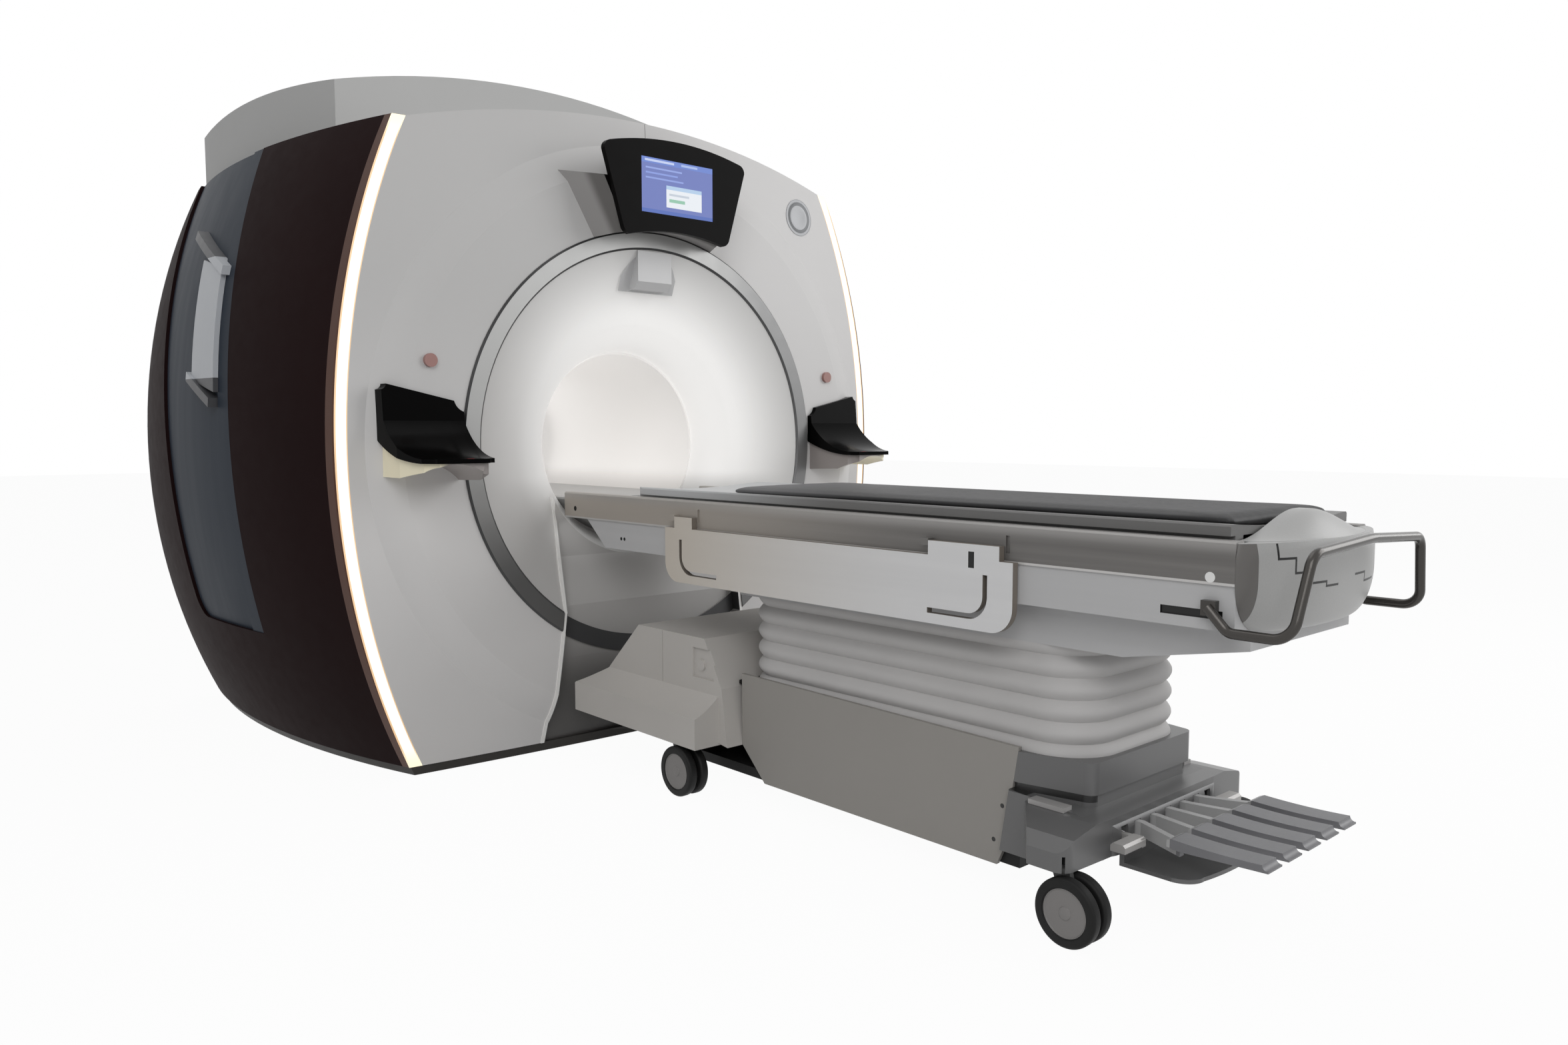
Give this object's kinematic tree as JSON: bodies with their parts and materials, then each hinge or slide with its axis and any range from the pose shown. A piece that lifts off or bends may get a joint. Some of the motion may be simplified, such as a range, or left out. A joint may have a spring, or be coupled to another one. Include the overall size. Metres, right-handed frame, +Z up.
{
  "type": "mri scanner",
  "caption": "A closed-bore magnetic resonance scanner with a domed front, lit edges and hand panels, and a docked patient table on casters with a sliding cradle",
  "frame": {"origin": "on the floor under the middle of the magnet, where the bore axis crosses the isocentre", "axes": "+Z up, the patient table reaches out along -Y, the bore axis is parallel to Y at 1.10 m"},
  "size_m": [2.7276, 4.3589, 2.5593],
  "materials": {
    "base_frame": "satin dark grey paint",
    "magnet": "welded steel vessel",
    "composite": "wound resin and copper",
    "liner": "smooth pale laminate",
    "white_cover": "smooth white moulding",
    "warm_flare": "glossy warm white",
    "ring": "metallic grey",
    "light": "lit diffuser",
    "side_brown": "dark brown satin",
    "blue_grey": "soft blue-grey",
    "pale_grey": "smooth pale grey",
    "black_gloss": "piano black",
    "screen": "lit display",
    "lens": "dark lens",
    "red": "red button",
    "rail": "brushed brown-grey",
    "beige": "beige moulding",
    "dark_chrome": "dark polished tube",
    "pan_white": "white satin paint",
    "cradle_grey": "grey laminate",
    "pad": "dark grey coated fabric",
    "bellows": "soft beige folds",
    "chassis": "black paint",
    "foot_grey": "mid grey moulding",
    "pedal_grey": "dark grey, worn",
    "lever": "cast, light grey",
    "horn": "grey casting",
    "wheel": "black tread, grey disc"
  },
  "bodies": {
    "gantry": {"base_frame": "base_frame", "bore_liner": "liner", "gradient_coil": "composite", "magnet_vessel": "magnet", "service_turret": "magnet", "bore_track": "composite", "dock_panel": "pale_grey", "front_flare": "warm_flare", "trim_ring": "ring", "front_cover_left": "white_cover", "front_cover_right": "white_cover", "light_strip_left": "light", "light_strip_right": "light", "side_cover_left": "side_brown", "side_cover_right": "side_brown", "side_inset_left": "blue_grey", "side_inset_right": "blue_grey", "grab_bars": "pale_grey", "roof_panel": "white_cover", "top_cover": "white_cover", "rear_cover": "white_cover", "monitor_housing": "black_gloss", "monitor_screen": "screen", "alignment_light": "lens", "panel_fascia_left": "black_gloss", "panel_fascia_right": "black_gloss", "panel_housing_left": "warm_flare", "panel_housing_right": "warm_flare"},
    "stop_button_left": {"stop_button_left": "red"},
    "stop_button_right": {"stop_button_right": "red"},
    "table_base": {"chassis": "chassis", "lower_cover_left": "beige", "lower_cover_right": "beige", "head_base_cover": "pan_white", "foot_base_cover": "foot_grey", "bellows": "bellows"},
    "tabletop": {"top_frame": "pan_white", "side_rail_left": "rail", "side_rail_right": "rail", "foot_cap": "pale_grey", "push_handle": "dark_chrome"},
    "cradle_body": {"cradle": "cradle_grey", "cradle_pad": "pad"},
    "guard_left": {"side_guard_left": "beige"},
    "guard_right": {"side_guard_right": "beige"},
    "pedal_body_1": {"pedal_1": "pedal_grey"},
    "pedal_body_2": {"pedal_2": "pedal_grey"},
    "pedal_body_3": {"pedal_3": "pedal_grey"},
    "pedal_body_4": {"pedal_4": "pedal_grey"},
    "pedal_body_5": {"pedal_5": "pedal_grey"},
    "brake_left": {"brake_lever_left": "lever"},
    "brake_right": {"brake_lever_right": "lever"},
    "horn_head_left": {"caster_horn_head_left": "horn"},
    "wheels_head_left": {"caster_wheels_head_left": "wheel"},
    "horn_head_right": {"caster_horn_head_right": "horn"},
    "wheels_head_right": {"caster_wheels_head_right": "wheel"},
    "horn_foot_left": {"caster_horn_foot_left": "horn"},
    "wheels_foot_left": {"caster_wheels_foot_left": "wheel"},
    "horn_foot_right": {"caster_horn_foot_right": "horn"},
    "wheels_foot_right": {"caster_wheels_foot_right": "wheel"}
  },
  "joints": [
    {"name": "stop_press_left", "type": "slide", "parent": "gantry", "child": "stop_button_left", "axis": [0, 1, 0], "range_m": [0, 0.006], "stiffness_N_per_m": 400, "springref_m": -0.004},
    {"name": "stop_press_right", "type": "slide", "parent": "gantry", "child": "stop_button_right", "axis": [0, 1, 0], "range_m": [0, 0.006], "stiffness_N_per_m": 400, "springref_m": -0.004},
    {"name": "table_dock", "type": "slide", "parent": "gantry", "child": "table_base", "axis": [0, -1, 0], "range_m": [0, 1]},
    {"name": "table_lift", "type": "slide", "parent": "table_base", "child": "tabletop", "axis": [0, 0, 1], "range_m": [-0.14, 0], "deforming": ["bellows"]},
    {"name": "cradle_slide", "type": "slide", "parent": "tabletop", "child": "cradle_body", "axis": [0, 1, 0], "range_m": [0, 1.4]},
    {"name": "guard_swing_left", "type": "hinge", "parent": "tabletop", "child": "guard_left", "pos_m": [-0.341, -2.1, 0.874], "axis": [0, 1, 0], "range_deg": [0, 90]},
    {"name": "guard_swing_right", "type": "hinge", "parent": "tabletop", "child": "guard_right", "pos_m": [0.341, -2.1, 0.874], "axis": [0, -1, 0], "range_deg": [0, 90]},
    {"name": "pedal_press_1", "type": "hinge", "parent": "table_base", "child": "pedal_body_1", "pos_m": [-0.14, -2.965, 0.205], "axis": [1, 0, 0], "range_deg": [0, 8], "stiffness_Nm_per_rad": 8, "springref_deg": -10},
    {"name": "pedal_press_2", "type": "hinge", "parent": "table_base", "child": "pedal_body_2", "pos_m": [-0.07, -2.965, 0.205], "axis": [1, 0, 0], "range_deg": [0, 8], "stiffness_Nm_per_rad": 8, "springref_deg": -10},
    {"name": "pedal_press_3", "type": "hinge", "parent": "table_base", "child": "pedal_body_3", "pos_m": [0, -2.965, 0.205], "axis": [1, 0, 0], "range_deg": [0, 8], "stiffness_Nm_per_rad": 8, "springref_deg": -10},
    {"name": "pedal_press_4", "type": "hinge", "parent": "table_base", "child": "pedal_body_4", "pos_m": [0.07, -2.965, 0.205], "axis": [1, 0, 0], "range_deg": [0, 8], "stiffness_Nm_per_rad": 8, "springref_deg": -10},
    {"name": "pedal_press_5", "type": "hinge", "parent": "table_base", "child": "pedal_body_5", "pos_m": [0.14, -2.965, 0.205], "axis": [1, 0, 0], "range_deg": [0, 8], "stiffness_Nm_per_rad": 8, "springref_deg": -10},
    {"name": "brake_press_left", "type": "hinge", "parent": "table_base", "child": "brake_left", "pos_m": [-0.198, -2.965, 0.205], "axis": [1, 0, 0], "range_deg": [0, 8], "stiffness_Nm_per_rad": 8, "springref_deg": -10},
    {"name": "brake_press_right", "type": "hinge", "parent": "table_base", "child": "brake_right", "pos_m": [0.198, -2.965, 0.205], "axis": [1, 0, 0], "range_deg": [0, 8], "stiffness_Nm_per_rad": 8, "springref_deg": -10},
    {"name": "caster_swivel_head_left", "type": "hinge", "parent": "table_base", "child": "horn_head_left", "pos_m": [-0.39, -1.541, 0.16], "axis": [0, 0, 1], "continuous": true},
    {"name": "caster_roll_head_left", "type": "hinge", "parent": "horn_head_left", "child": "wheels_head_left", "pos_m": [-0.39, -1.575, 0.08], "axis": [1, 0, 0], "continuous": true},
    {"name": "caster_swivel_head_right", "type": "hinge", "parent": "table_base", "child": "horn_head_right", "pos_m": [0.39, -1.541, 0.16], "axis": [0, 0, 1], "continuous": true},
    {"name": "caster_roll_head_right", "type": "hinge", "parent": "horn_head_right", "child": "wheels_head_right", "pos_m": [0.39, -1.575, 0.08], "axis": [1, 0, 0], "continuous": true},
    {"name": "caster_swivel_foot_left", "type": "hinge", "parent": "table_base", "child": "horn_foot_left", "pos_m": [-0.39, -2.974, 0.16], "axis": [0, 0, 1], "continuous": true},
    {"name": "caster_roll_foot_left", "type": "hinge", "parent": "horn_foot_left", "child": "wheels_foot_left", "pos_m": [-0.39, -3.008, 0.08], "axis": [1, 0, 0], "continuous": true},
    {"name": "caster_swivel_foot_right", "type": "hinge", "parent": "table_base", "child": "horn_foot_right", "pos_m": [0.39, -2.974, 0.16], "axis": [0, 0, 1], "continuous": true},
    {"name": "caster_roll_foot_right", "type": "hinge", "parent": "horn_foot_right", "child": "wheels_foot_right", "pos_m": [0.39, -3.008, 0.08], "axis": [1, 0, 0], "continuous": true}
  ]
}
